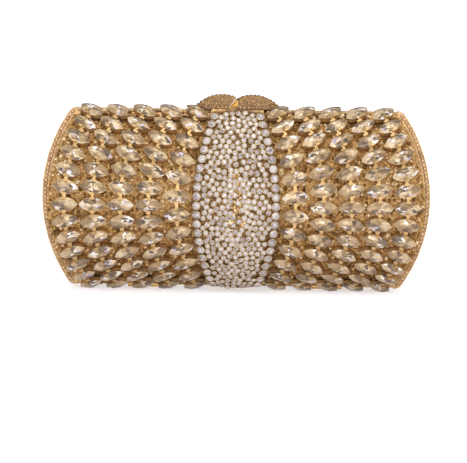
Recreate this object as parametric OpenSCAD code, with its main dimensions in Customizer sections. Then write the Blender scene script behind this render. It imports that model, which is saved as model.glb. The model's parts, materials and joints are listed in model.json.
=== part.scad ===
// Crystal minaudiere: a hard metal evening clutch in two hinged halves.
// The origin is on the surface that it stands on, below its middle.
// +X runs along its length, the front faces -Y and +Z is up.

/* [Case] */
// Length over the frame
case_length = 205; // [196:1:214]
// Height of the frame
frame_height = 94.2; // [88:0.2:98]
// Radius of the bowed ends
end_radius = 80; // [72:0.4:88]
// Radius of the frame's corners
corner_radius = 5; // [4:0.5:7]
// How far each half's arched shell stands out from its frame
arch_rise = 23.24; // [22:0.04:26]
// Sheet thickness of the shells
shell_wall = 1; // [0.8:0.1:1.4]
// How far an end wall leans in from its foot to its top
end_lean = 1.6; // [0:0.2:3]

/* [Frame] */
// Depth of each half of the frame
frame_depth = 3.6; // [3.2:0.1:4.4]
// Gap between the two halves when shut
parting_gap = 0.2; // [0.2:0.05:0.4]
// Width of the frame's outer rim
rim_width = 0.5; // [0.4:0.05:0.7]
// Width of the channel that holds the small stones
band_width = 2.2; // [2:0.1:2.6]
// Width of the wire inside that channel
wire_width = 0.5; // [0.4:0.05:0.7]
// Width of the seat inside the wire that the shell stands on
seat_width = 1.6; // [1.4:0.1:2]
// Depth of the channel
band_depth = 0.6; // [0.4:0.1:0.9]
// Diameter of the small stones
band_stone_d = 2; // [1.7:0.05:2.1]
// Height of the small stones
band_stone_height = 0.9; // [0.6:0.1:1.2]
// Free space between neighbouring small stones
band_stone_gap = 0.2; // [0.1:0.05:0.4]

/* [Marquise stones] */
// Length of a stone
stone_length = 13.6; // [13.2:0.1:14]
// Width of a stone
stone_width = 7; // [6.6:0.1:7.2]
// Height from the widest line to the flat top
crown_height = 1.3; // [1:0.1:1.8]
// Depth from the widest line to the point below
pavilion_depth = 2.6; // [2.2:0.1:2.9]
// Height of the stones' widest line over the shell
girdle_height = 3.2; // [3:0.1:3.6]
// Size of the flat top against the outline
table_share = 0.52; // [0.4:0.02:0.7]
// Wall of the cup that a stone sits in
collet_wall = 0.55; // [0.45:0.05:0.7]
// How far the cup shows outside the stone
collet_lip = 0.25; // [0.15:0.05:0.3]
// How far the cup's edge lies below the widest line
collet_drop = 0.4; // [0.35:0.05:0.6]
// Width of a claw
claw_width = 2.2; // [1:0.1:2.6]
// Thickness of a claw
claw_wall = 0.6; // [0.4:0.05:0.7]
// Gap between a claw and its stone
claw_gap = 0.05; // [0.03:0.01:0.1]
// Distance from the frame's edge in to the middle of the outermost stones
row_drop = 0.72; // [0.4:0.04:2]
// Least distance along the arch between rows of stones
row_pitch = 8.7; // [8.4:0.1:10.4]
// Least distance between the stones of the middle row
stone_pitch = 14.3; // [14.3:0.1:16]
// Tilt of the outermost stones
fan_angle = 36; // [25:1:40]
// Distance from the end of the case in to where its middle row ends
wing_margin = 6.3; // [5:0.1:8]
// Radius of the line that the rows end on
wing_end_radius = 90; // [80:1:100]

/* [Centre panel] */
// Half width of the centre panel at its middle
knot_half_width = 22.8; // [20:0.2:23]
// Radius of the panel's long sides
knot_side_radius = 122; // [110:1:140]
// Height of the panel's crest over the shell
knot_rise = 5.4; // [5.2:0.1:6]
// Distance from the frame's edge in to the panel's top and bottom edge
knot_drop = 0.25; // [0.2:0.05:1]
// Sheet thickness of the panel
knot_wall = 0.9; // [0.7:0.1:1.2]
// Gap between the panel and the rows of stones
knot_gap = 0.7; // [0.6:0.05:1]
// Diameter of the border stones
border_stone_d = 3.9; // [3.2:0.1:4.1]
// Distance between border stones
border_pitch = 5.3; // [4.6:0.1:6]
// Diameter of the panel's field stones
field_stone_d = 2.6; // [2.2:0.1:2.9]
// Distance between field stones
field_pitch = 3.6; // [3.2:0.1:4.4]
// Height of the round stones
round_stone_height = 1; // [0.7:0.1:1.3]

/* [Hinges] */
// Distance from the end of the case to the middle of each hinge
hinge_end = 57.5; // [47.5:1:67.5]
// Length of a hinge
hinge_length = 24; // [18:1:30]
// Outer radius of the knuckles
knuckle_radius = 1.4; // [1.2:0.05:1.5]
// Radius of the hinge pins
pin_radius = 0.75; // [0.6:0.05:0.8]
// Radial clearance of the turning knuckle on its pin
pin_clearance = 0.05; // [0.03:0.01:0.08]
// Clearance at the ends of the turning knuckle
knuckle_gap = 0.3; // [0.2:0.05:0.5]

/* [Clasp] */
// Distance from the middle to the outer tip of a petal
petal_reach = 23; // [20:0.5:24]
// Height of a petal over the frame
petal_height = 7.4; // [6:0.2:8.4]
// Distance from the middle to the top of a petal
petal_crest = 8; // [7:0.2:9]
// Thickness of a petal at its thickest
petal_depth = 4.6; // [4:0.2:5.4]
// Gap between the shut petals
petal_gap = 0.4; // [0.3:0.05:0.6]
// Diameter of the petals' small stones
petal_stone_d = 1.9; // [1.4:0.1:1.9]
// Distance between the petals' small stones
petal_pitch = 2.1; // [2.1:0.1:2.6]

/* [Inside] */
// Thickness of the lining
lining_wall = 0.8; // [0.5:0.1:1.2]
// Gap between the lining and the metal
lining_gap = 0.15; // [0.1:0.05:0.3]
// Width of the slip pocket
pocket_width = 76; // [60:1:90]
// Distance from the end of the case to each strap lug
lug_end = 32.5; // [26.5:1:47.5]
// Radius of a strap lug's rounded end
lug_radius = 2.8; // [2.4:0.1:3.4]
// Radius of the hole in a strap lug
lug_bore = 1.25; // [1:0.05:1.6]
// Thickness of a strap lug
lug_wall = 1.2; // [1:0.1:1.6]
// Distance from the frame to the hole in a strap lug
lug_drop = 3; // [2.6:0.1:4]

/* [Hidden] */
$fn = 180;

// Cutters run past what they cut by this much
overrun = 1;
// Small free space between pieces that are soldered or glued in place
seat_gap = 0.02;
// An inner outline whose corners would be tighter than this has plain ones
tight_radius = 0.5;
// Distance between rows of round stones, against the distance between the stones of a row
row_share = sin(60);

// Frame
half_height = frame_height / 2;
end_centre = case_length / 2 - end_radius;
band_inset = rim_width + band_width + wire_width;
frame_width = band_inset + seat_width;

// Shell: its arch lands on the seat just inside the wire
foot_height = half_height - band_inset;
arch_radius = (pow(foot_height, 2) + pow(arch_rise, 2)) / (2 * arch_rise);
arch_centre = arch_radius - arch_rise - frame_depth;

// Marquise stones: each outline is two arcs that meet in points
arc_radius = (pow(stone_length, 2) + pow(stone_width, 2)) / (4 * stone_width);
arc_offset = arc_radius - stone_width / 2;
arc_sweep = asin(stone_length / 2 / arc_radius);
arc_steps = 4;
girdle_radius = arch_radius + girdle_height;
// Angle from the middle of the arch to the outermost row
row_span = asin((half_height - row_drop) / girdle_radius);
rows_each_way = floor(girdle_radius * row_span * PI / 180 / row_pitch);
wing_end = case_length / 2 - wing_margin;
columns = floor((row_end(0) - row_start(0)) / stone_pitch);
claw_head = 0.4;
claw_reach = 0.75;
claw_rise = 0.75;
// The frame's long edges are bevelled under the outermost row, this high over the shell's tangent
bevel_height = 1.1;
bevel_margin = 0.6;
channel_start = row_end(1) + bevel_margin + rim_width;
// The settings keep this far from the parting plane, clear of the clasp and the hinges
setting_start = 2.5;

// The case stands on the girdles of its outermost stones
lowest_side = max([for (p = navette_points()) p[0] * sin(fan_angle) + p[1] * cos(fan_angle)]);
base_height = girdle_radius * sin(row_span) + lowest_side * cos(row_span);

// Centre panel
knot_top = arch_radius + knot_rise;
knot_span = asin((half_height - knot_drop) / knot_top);
knot_foot_gap = 0.05;
cup_wall = 0.25;
cup_height = 0.8;
border_margin = 0.3;
border_inset = border_stone_d / 2 + cup_wall + border_margin;
border_step = border_pitch / knot_top * 180 / PI;
border_count = floor((knot_span - border_step / 2) / border_step);
field_step = field_pitch * row_share / knot_top * 180 / PI;
field_count = floor((knot_span - field_step / 2) / field_step);
// Size of a round stone's flat top against its outline
round_table_share = 0.6;

// Hinges: the axis lies on the frame's lower face, in the parting plane
hinge_height = base_height - half_height;
hinge_place = case_length / 2 - hinge_end;
rear_knuckle = hinge_length / 3;
front_knuckle = hinge_length - 2 * rear_knuckle - 2 * knuckle_gap;
notch_gap = 0.25;

// Clasp: each petal is a disc's cap between two large spheres
petal_foot = 0.3;
petal_radius = (pow(petal_reach - petal_crest, 2) + pow(petal_height, 2)) / (2 * petal_height);
petal_dome = 60;
petal_base = base_height + half_height + petal_foot;
petal_stone_height = 0.5;
petal_shift = 0.5;
parting_tilt = 38;
parting_foot = -5;
petal_bevel = 2.2;
bevel_angle = 45;
petal_margin = 0.9;
foot_length = 7;
foot_start = 6;

// Inside
lining_inset = shell_wall + lining_gap;
rim_inset = frame_width + lining_gap;
// How far the rim of a lining reaches into its dome
lining_joint = 0.1;
lug_place = case_length / 2 - lug_end;
lug_gap = 0.3;
lug_inset = 0.4;
lug_neck_share = 0.87;
pocket_wall = 0.5;
pocket_gap = 0.1;
pocket_low = -34;
pocket_high = 12;

function navette_points(size = 1) = [
    for (side = [0, 1]) for (i = [0:arc_steps - 1])
        let (turn = 90 - arc_sweep + 2 * arc_sweep * i / arc_steps,
             flip = side == 0 ? 1 : -1)
            size * flip * [arc_radius * cos(turn), arc_radius * sin(turn) - arc_offset]];

// Where the panel's long side lies at a height from the middle
function knot_edge(height) =
    knot_half_width - knot_side_radius + sqrt(pow(knot_side_radius, 2) - pow(height, 2));
// Where a row of marquise stones starts and ends. Its level runs from -1, the lowest row, to 1
function row_height(level) = girdle_radius * sin(level * row_span);
function row_start(level) = knot_edge(row_height(level)) + knot_gap;
function row_end(level) =
    wing_end - wing_end_radius + sqrt(pow(wing_end_radius, 2) - pow(row_height(level), 2));
function stone_place(level, column) =
    row_start(level) + (row_end(level) - row_start(level)) * (column + 0.5) / columns;
function stone_tilt(level) = fan_angle * sin(90 * level);
// The column beside the panel has one stone fewer than the others
function column_levels(column) =
    let (steps = 2 * rows_each_way - (column == 0 ? 1 : 0))
        [for (i = [0:steps]) 2 * i / steps - 1];
// How far from the middle a border stone lies at an angle along the arch
function border_place(angle) = knot_edge(knot_top * sin(angle)) - border_inset;

// The plan of the case, drawn in by an inset, with its middle at the origin
module outline(inset) {
    radius = end_radius - inset;
    half = half_height - inset;
    for (side = [0, 1]) mirror([side, 0]) difference() {
        intersection() {
            translate([end_centre, 0]) circle(r = radius);
            translate([0, -half]) square([case_length, 2 * half]);
        }
        if (inset + tight_radius < corner_radius)
            for (end = [0, 1]) mirror([0, end]) corner_waste(radius, half, corner_radius - inset);
    }
}

// What rounding takes off between an end arc and a straight edge
module corner_waste(radius, half, corner) {
    up = half - corner;
    out = sqrt(pow(radius - corner, 2) - pow(up, 2));
    reach = corner_radius + overrun;
    toward = [out, up] / (radius - corner);
    translate([end_centre + out, up]) difference() {
        polygon([[0, 0], toward * reach, toward * reach + [0, reach], [0, reach]]);
        circle(r = corner);
    }
}

// A plate in the front half between two depths in front of the parting plane
module slab(from, to) {
    translate([0, -from, base_height]) rotate([90, 0, 0])
        linear_extrude(to - from) children();
}

// The arched space under a shell, drawn in by an inset
module dome(inset) {
    for (side = [0, 1]) mirror([side, 0, 0]) intersection() {
        translate([0, arch_centre, base_height]) rotate([0, 90, 0])
            cylinder(r = arch_radius - inset, h = case_length);
        translate([end_centre, -frame_depth, base_height]) rotate([90, 0, 0])
            cylinder(r1 = end_radius - band_inset - inset,
                     r2 = end_radius - band_inset - inset - end_lean, h = arch_rise);
        slab(frame_depth, frame_depth + arch_rise)
            translate([0, -half_height]) square([case_length / 2, frame_height]);
    }
}

module rear() mirror([0, 1, 0]) children();

// Puts a piece on the arch, its +Z along the normal and its +Y up the arch
module on_arch(x, angle, lift) {
    translate([x, arch_centre, base_height]) rotate([90 - angle, 0, 0])
        translate([0, 0, arch_radius + lift]) children();
}

// Puts a piece on the centre panel's face, a ball about the middle of the arch's axis
module on_knot(x, angle) {
    translate([0, arch_centre, base_height]) rotate([90 - angle, 0, 0])
        rotate([0, asin(x / knot_top), 0]) translate([0, 0, knot_top]) children();
}

// The channel for the small stones, round each bowed end
module channel() {
    for (side = [0, 1]) mirror([side, 0]) intersection() {
        difference() {
            outline(rim_width);
            outline(rim_width + band_width);
        }
        translate([channel_start, -half_height]) square([case_length, frame_height]);
    }
}

// What the bevel under an outermost row of one wing takes off the frame
module edge_bevel(end) {
    start = row_start(1) - bevel_margin;
    length = row_end(1) + bevel_margin - start;
    on_arch(start, end * row_span, bevel_height) translate([0, -stone_width, 0])
        cube([length, 2 * stone_width, frame_depth]);
}

// Frames
module frame_ring(own, other) {
    difference() {
        slab(parting_gap / 2, frame_depth) difference() {
            outline(0);
            outline(frame_width);
        }
        slab(frame_depth - band_depth, frame_depth + overrun) channel();
        for (side = [0, 1], end = [-1, 1]) mirror([side, 0, 0]) edge_bevel(end);
        for (place = [-hinge_place, hinge_place]) translate([place, 0, 0]) {
            knuckle_spans(own) rod(knuckle_radius + seat_gap, seat_gap);
            knuckle_spans(other) rod(knuckle_radius + notch_gap, knuckle_gap);
        }
    }
}

// A rod along the hinge axis over a span that the caller gives as [start, end]
module rod(radius, longer) {
    translate([$span[0] - longer, 0, hinge_height]) rotate([0, 90, 0])
        cylinder(r = radius, h = $span[1] - $span[0] + 2 * longer);
}

// The stretches of one hinge that the rear or the front half holds
module knuckle_spans(half) {
    spans = half == "rear"
        ? [[-hinge_length / 2, rear_knuckle - hinge_length / 2],
           [hinge_length / 2 - rear_knuckle, hinge_length / 2]]
        : [[-front_knuckle / 2, front_knuckle / 2]];
    for ($span = spans) children();
}

module front_frame() color("goldenrod") frame_ring("front", "rear");
module rear_frame() color("goldenrod") rear() frame_ring("rear", "front");

// Small stones in the channel, along both bowed ends
module frame_stones() {
    radius = end_radius - rim_width - band_width / 2;
    step = (band_stone_d + band_stone_gap) / radius * 180 / PI;
    corner = asin((half_height - corner_radius) / (end_radius - corner_radius));
    start = acos((channel_start + band_stone_d / 2 + seat_gap - end_centre) / radius);
    count = floor(min(corner, start) / step);
    for (side = [0, 1]) mirror([side, 0, 0]) for (i = [-count:count])
        translate([end_centre + radius * cos(i * step), band_depth - frame_depth - seat_gap,
                   base_height + radius * sin(i * step)])
            rotate([90, 0, 0]) round_stone(band_stone_d, band_stone_height);
}

// A round stone with a flat top
module round_stone(d, height) {
    cylinder(r1 = d / 2, r2 = d / 2 * round_table_share, h = height);
}

module front_frame_stones() color("rosybrown") frame_stones();
module rear_frame_stones() color("rosybrown") rear() frame_stones();

// Shells
module shell() {
    difference() {
        dome(0);
        dome(shell_wall);
    }
}

module front_shell() color("gold") shell();
module rear_shell() color("gold") rear() shell();

// Linings: a dome and the rim that lines the frame's opening
module lining(start) {
    difference() {
        lining_form(0, start);
        lining_form(lining_wall, start - overrun);
    }
}

module lining_form(inset, start) {
    dome(lining_inset + inset);
    slab(start, frame_depth + lining_joint) outline(rim_inset + inset);
}

module front_lining() color("saddlebrown") lining(lug_inset);
module rear_lining() color("saddlebrown") rear() lining(lug_inset + lug_wall + lug_gap);

// A slip pocket that follows the rear lining
module rear_pocket() {
    outer = arch_radius - lining_inset - lining_wall - pocket_gap;
    color("sienna") rear() sweep_arch(pocket_low, pocket_high)
        translate([outer - pocket_wall, -pocket_width / 2]) square([pocket_wall, pocket_width]);
}

// Turns a profile, given as radius and length, about the arch's axis
module sweep_arch(low, high) {
    translate([0, arch_centre, base_height]) rotate([-90, 0, 0]) rotate([0, 90, 0])
        rotate([0, 0, -high]) rotate_extrude(angle = high - low) children();
}

// Marquise stones
module marquise() {
    n = 2 * arc_steps;
    table = [for (p = navette_points(table_share)) [p[0], p[1], crown_height]];
    girdle = [for (p = navette_points()) [p[0], p[1], 0]];
    polyhedron(
        points = concat(table, girdle, [[0, 0, -pavilion_depth]]),
        faces = concat(
            [[for (i = [n - 1:-1:0]) i]],
            [for (i = [0:n - 1]) [i, (i + 1) % n, n + (i + 1) % n]],
            [for (i = [0:n - 1]) [i, n + (i + 1) % n, n + i]],
            [for (i = [0:n - 1]) [n + i, n + (i + 1) % n, 2 * n]]));
}

// Places a piece at each stone of the right wing, or only of its lowest row or of the others
module wing_places(rows) {
    for (column = [0:columns - 1]) for ($level = column_levels(column))
        if (rows == "all" || rows == ($level == -1 ? "lowest" : "upper"))
            on_arch(stone_place($level, column), $level * row_span, 0)
                rotate([0, 0, stone_tilt($level)]) children();
}

module wing_marquises(rows) {
    wing_places(rows) translate([0, 0, girdle_height]) marquise();
}

module left() mirror([1, 0, 0]) children();

module front_right_marquises() color("tan") wing_marquises("upper");
module front_left_marquises() color("tan") left() wing_marquises("upper");
module rear_right_marquises() color("tan") rear() wing_marquises("upper");
module rear_left_marquises() color("tan") rear() left() wing_marquises("upper");

// The lowest row on both wings, which the case stands on
module base_marquises() {
    wing_marquises("lowest");
    left() wing_marquises("lowest");
}

module front_base_marquises() color("tan") base_marquises();
module rear_base_marquises() color("tan") rear() base_marquises();

// A pointed outline of two arcs, drawn out by grow
module navette(grow) {
    intersection() {
        translate([0, -arc_offset]) circle(r = arc_radius + grow);
        translate([0, arc_offset]) circle(r = arc_radius + grow);
    }
}

// The open cup that carries one stone, with a claw at each long side
module setting(level) {
    foot = seat_gap + (abs(level) == 1 ? bevel_height : 0);
    translate([0, 0, foot]) linear_extrude(girdle_height - collet_drop - foot)
        difference() {
            navette(collet_lip);
            navette(collet_lip - collet_wall);
        }
    // No claw stands on the side of an outermost row that faces the frame
    sides = level == 1 ? [1] : level == -1 ? [0] : [0, 1];
    for (side = sides) mirror([0, side, 0]) claw();
}

module claw() {
    top = girdle_height + claw_rise + claw_head;
    translate([-claw_width / 2, stone_width / 2 + claw_gap, seat_gap])
        cube([claw_width, claw_wall, top - seat_gap]);
    translate([-claw_width / 2, stone_width / 2 - claw_reach, top - claw_head])
        cube([claw_width, claw_reach + claw_gap + claw_wall, claw_head]);
}

module wing_settings() {
    intersection() {
        wing_places("all") setting($level);
        slab(setting_start, case_length)
            translate([0, -frame_height]) square([case_length, 2 * frame_height]);
    }
}

module front_right_settings() color("darkgoldenrod") wing_settings();
module front_left_settings() color("darkgoldenrod") left() wing_settings();
module rear_right_settings() color("darkgoldenrod") rear() wing_settings();
module rear_left_settings() color("darkgoldenrod") rear() left() wing_settings();

// Centre panel: a plate of a ball's form with skirts down to the shell
module knot_form(inset) {
    span = knot_span - inset / knot_top * 180 / PI;
    bottom = arch_radius + knot_foot_gap - (inset > 0 ? overrun : 0);
    sides = knot_side_radius - knot_half_width;
    reach = knot_half_width + overrun;
    intersection() {
        sweep_arch(-span, span) translate([bottom, -reach]) square([2 * knot_rise, 2 * reach]);
        translate([0, arch_centre, base_height]) sphere(r = knot_top - inset);
        slab(0, arch_radius) intersection() {
            translate([sides, 0]) circle(r = knot_side_radius - inset);
            translate([-sides, 0]) circle(r = knot_side_radius - inset);
        }
    }
}

module knot_panel() {
    difference() {
        knot_form(0);
        knot_form(knot_wall);
    }
}

module front_knot_panel() color("peru") knot_panel();
module rear_knot_panel() color("peru") rear() knot_panel();

module border_places() {
    for (side = [0, 1]) mirror([side, 0, 0]) for (i = [-border_count:border_count])
        on_knot(border_place(i * border_step), i * border_step) children();
}

module knot_settings() {
    border_places() translate([0, 0, seat_gap])
        cylinder(d = border_stone_d + 2 * cup_wall, h = cup_height);
}

module knot_border_stones() {
    border_places() translate([0, 0, cup_height + 2 * seat_gap])
        round_stone(border_stone_d, round_stone_height);
}

module knot_stones() {
    for (j = [-field_count:field_count]) {
        angle = j * field_step;
        room = border_place(angle) - border_stone_d / 2 - cup_wall - field_stone_d / 2;
        shift = abs(j % 2) / 2;
        count = floor(room / field_pitch + 1);
        for (i = [-count:count]) let (x = (i + shift) * field_pitch)
            if (abs(x) <= room)
                on_knot(x, angle) translate([0, 0, seat_gap])
                    round_stone(field_stone_d, round_stone_height);
    }
}

module front_knot_settings() color("gold") knot_settings();
module rear_knot_settings() color("gold") rear() knot_settings();
module front_knot_border_stones() color("lavender") knot_border_stones();
module rear_knot_border_stones() color("lavender") rear() knot_border_stones();
module front_knot_stones() color("ghostwhite") knot_stones();
module rear_knot_stones() color("ghostwhite") rear() knot_stones();

// Hinges
module knuckles(half, clearance) {
    for (place = [-hinge_place, hinge_place]) translate([place, 0, 0])
        knuckle_spans(half) difference() {
            rod(knuckle_radius, 0);
            rod(pin_radius + clearance, overrun);
        }
}

module rear_hinge_knuckles() color("khaki") knuckles("rear", seat_gap);
module front_hinge_knuckles() color("khaki") knuckles("front", pin_clearance);

module hinge_pin(place) {
    translate([place - hinge_length / 2, 0, hinge_height]) rotate([0, 90, 0])
        cylinder(r = pin_radius, h = hinge_length);
}

module left_hinge_pin() color("silver") hinge_pin(-hinge_place);
module right_hinge_pin() color("silver") hinge_pin(hinge_place);

// Lugs for a strap, fixed inside the rear frame's upper edge
module strap_lug(place) {
    top = half_height - frame_width;
    neck = lug_neck_share * 2 * lug_radius;
    color("khaki") rear() slab(lug_inset, lug_inset + lug_wall) translate([place, top])
        difference() {
            union() {
                translate([0, -lug_drop]) circle(r = lug_radius);
                translate([-neck / 2, -lug_drop]) square([neck, lug_drop]);
            }
            translate([0, -lug_drop]) circle(r = lug_bore);
        }
}

module left_strap_lug() strap_lug(-lug_place);
module right_strap_lug() strap_lug(lug_place);

// Clasp: a foot on each frame carries one petal
module clasp_foot(start) {
    translate([start, parting_gap - frame_depth, base_height + half_height])
        cube([foot_length, frame_depth - 2 * parting_gap, petal_foot]);
}

module front_clasp_foot() color("gold") clasp_foot(-foot_start - foot_length);
module rear_clasp_foot() color("gold") rear() clasp_foot(foot_start);

// A disc's cap between two large spheres, about the crest of one petal
module petal_form() {
    intersection() {
        rotate([90, 0, 0]) linear_extrude(petal_depth + overrun, center = true) intersection() {
            translate([0, petal_height - petal_radius]) circle(r = petal_radius);
            translate([-petal_radius, 0]) square([2 * petal_radius, petal_height + overrun]);
        }
        translate([0, petal_dome - petal_depth / 2, 0]) sphere(r = petal_dome);
        translate([0, petal_depth / 2 - petal_dome, 0]) sphere(r = petal_dome);
    }
}

// Everything on one side of the slanted line that parts the shut petals
module parting_cut(side) {
    block = 2 * petal_reach;
    translate([parting_foot, 0, petal_base]) rotate([0, parting_tilt, 0])
        translate([side * (block - petal_gap) / 2, 0, 0]) cube(block, center = true);
}

// The bright bevel along the near petal's parting edge
module bevel_cut() {
    block = 2 * petal_reach;
    translate([parting_foot, 0, petal_base]) rotate([0, parting_tilt, 0])
        translate([petal_gap / 2 + petal_bevel, -petal_shift - petal_depth / 2, 0])
            rotate([0, 0, 180 - bevel_angle]) translate([-block / 2, 0, -block / 2]) cube(block);
}

module near_petal() color("gold") difference() {
    translate([petal_crest, -petal_shift, petal_base]) petal_form();
    parting_cut(-1);
    bevel_cut();
}

module far_petal() color("gold") difference() {
    translate([-petal_crest, petal_shift, petal_base]) petal_form();
    parting_cut(1);
}

// How far a point of a petal lies from the parting line, to its right
function past_parting(x, up) =
    (x - parting_foot) * cos(parting_tilt) - up * sin(parting_tilt) - petal_gap / 2;

// Small stones over both faces of a petal. keep is the least distance from its parting edge
module petal_stones(crest, shift, side, keep) {
    rows = floor(petal_height / (petal_pitch * row_share));
    count = ceil(petal_reach / petal_pitch);
    for (back = [0, 1]) for (j = [0:rows]) for (i = [-count:count]) {
        x = (i + (j % 2) / 2) * petal_pitch;
        up = petal_margin + j * petal_pitch * row_share;
        inside = norm([x, up + petal_radius - petal_height]) < petal_radius - petal_margin;
        clear = side * past_parting(crest + x, up) > (back == 0 ? keep : petal_margin);
        if (inside && clear)
            translate([crest, shift, petal_base]) mirror([0, back, 0])
                translate([0, petal_dome - petal_depth / 2, 0])
                    rotate([0, 0, asin(x / petal_dome)]) rotate([90 - asin(up / petal_dome), 0, 0])
                        translate([0, 0, petal_dome + seat_gap])
                            round_stone(petal_stone_d, petal_stone_height);
    }
}

module near_petal_stones() color("burlywood")
    petal_stones(petal_crest, -petal_shift, 1, petal_bevel + petal_margin);
module far_petal_stones() color("burlywood")
    petal_stones(-petal_crest, petal_shift, -1, petal_margin);

rear_frame();
rear_shell();
rear_lining();
rear_pocket();
rear_frame_stones();
rear_left_settings();
rear_right_settings();
rear_left_marquises();
rear_right_marquises();
rear_base_marquises();
rear_knot_panel();
rear_knot_settings();
rear_knot_border_stones();
rear_knot_stones();
rear_hinge_knuckles();
left_hinge_pin();
right_hinge_pin();
left_strap_lug();
right_strap_lug();
rear_clasp_foot();
near_petal();
near_petal_stones();
front_frame();
front_shell();
front_lining();
front_frame_stones();
front_left_settings();
front_right_settings();
front_left_marquises();
front_right_marquises();
front_base_marquises();
front_knot_panel();
front_knot_settings();
front_knot_border_stones();
front_knot_stones();
front_hinge_knuckles();
front_clasp_foot();
far_petal();
far_petal_stones();
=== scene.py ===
import json
from math import acos, asin, atan2, ceil, cos, hypot, pi, radians, sin, sqrt, tan

import bmesh
import bpy
import numpy as np
from mathutils import Matrix, Vector

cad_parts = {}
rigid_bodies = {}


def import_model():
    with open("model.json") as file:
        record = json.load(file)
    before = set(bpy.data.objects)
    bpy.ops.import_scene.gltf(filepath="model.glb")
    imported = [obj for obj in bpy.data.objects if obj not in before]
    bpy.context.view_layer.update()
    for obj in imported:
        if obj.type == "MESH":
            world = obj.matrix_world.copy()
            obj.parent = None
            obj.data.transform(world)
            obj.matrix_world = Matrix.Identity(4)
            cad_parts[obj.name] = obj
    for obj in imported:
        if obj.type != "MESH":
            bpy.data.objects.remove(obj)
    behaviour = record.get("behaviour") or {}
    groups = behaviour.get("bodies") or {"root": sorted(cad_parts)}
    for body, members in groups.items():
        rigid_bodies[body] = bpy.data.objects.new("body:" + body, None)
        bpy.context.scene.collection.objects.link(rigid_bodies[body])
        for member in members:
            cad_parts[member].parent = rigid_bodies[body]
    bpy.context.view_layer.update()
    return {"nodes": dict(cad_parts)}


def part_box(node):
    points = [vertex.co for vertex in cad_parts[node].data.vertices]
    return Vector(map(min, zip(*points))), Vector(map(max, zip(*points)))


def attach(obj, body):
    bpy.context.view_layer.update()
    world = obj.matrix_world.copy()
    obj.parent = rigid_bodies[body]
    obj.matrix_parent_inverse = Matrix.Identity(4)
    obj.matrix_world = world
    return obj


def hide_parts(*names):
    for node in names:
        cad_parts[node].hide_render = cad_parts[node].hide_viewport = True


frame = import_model()
print("frame loaded")

mm = 0.001
faces = {"front": -1, "rear": 1}   # which way each half of the case looks along Y

# Sizes that the dressed pieces share with the solids, in millimetres
case = {"archRadius": 53.083, "frameDepth": 3.6, "halfHeight": 47.1, "endCentre": 22.5,
        "endRadius": 80.0, "rimWidth": 0.5, "bandWidth": 2.2, "bandDepth": 0.6,
        "bandInset": 3.2, "endLean": 1.6}
lowFrame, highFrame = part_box("front_frame")
caseMiddle = (lowFrame.z + highFrame.z) / 2 / mm
archCentre = case["archRadius"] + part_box("front_shell")[0].y / mm


def paint(red, green, blue):   # a screen colour as Blender's linear one
    return tuple((v / 255 / 12.92 if v <= 10 else ((v / 255 + 0.055) / 1.055) ** 2.4)
                 for v in (red, green, blue)) + (1.0,)


def putInScene(name, data):
    piece = bpy.data.objects.new(name, data)
    bpy.context.scene.collection.objects.link(piece)
    return piece


# Puts a dressed piece on the half that it rides and hides the nodes that it stands for. Its
# slot is not used
def dress(piece, half, slot, *nodes):
    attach(piece, half + "_half")
    if nodes:
        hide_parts(*nodes)


# Camera

viewpoint = {"distance": 1.15, "across": 0.2481, "elevation": 9.5, "roll": 0.83,
             "aimX": -1.17, "aimZ": 30.75}


def setCamera(v):
    data = bpy.data.cameras.new("camera")
    data.lens = data.sensor_width * v["distance"] / v["across"]
    data.clip_start = 0.01
    camera = putInScene("camera", data)
    tilt = radians(v["elevation"])
    toward = Vector((0, -cos(tilt), sin(tilt)))
    place = Vector((v["aimX"], 0, v["aimZ"])) * mm + toward * v["distance"]
    turn = toward.to_track_quat("Z", "Y").to_matrix().to_4x4()
    camera.matrix_world = (Matrix.Translation(place) @ turn
                           @ Matrix.Rotation(radians(v["roll"]), 4, "Z"))
    bpy.context.scene.camera = camera


setCamera(viewpoint)
print("camera set")


# Node trees

def operator(operation, swapped=False):
    def method(self, other):
        return self.sheet.calc(operation, *((other, self) if swapped else (self, other)))
    return method


class Wire:
    # One socket in a tree. Arithmetic on it adds Math nodes, and a name in brackets gives
    # another output of the same node
    def __init__(self, sheet, socket):
        self.sheet = sheet
        self.socket = socket

    def __getitem__(self, name):
        return Wire(self.sheet, self.sheet.find(self.socket.node.outputs, name))

    __add__, __radd__ = operator("ADD"), operator("ADD", True)
    __sub__, __rsub__ = operator("SUBTRACT"), operator("SUBTRACT", True)
    __mul__, __rmul__ = operator("MULTIPLY"), operator("MULTIPLY", True)
    __truediv__, __lt__ = operator("DIVIDE"), operator("LESS_THAN")


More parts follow.
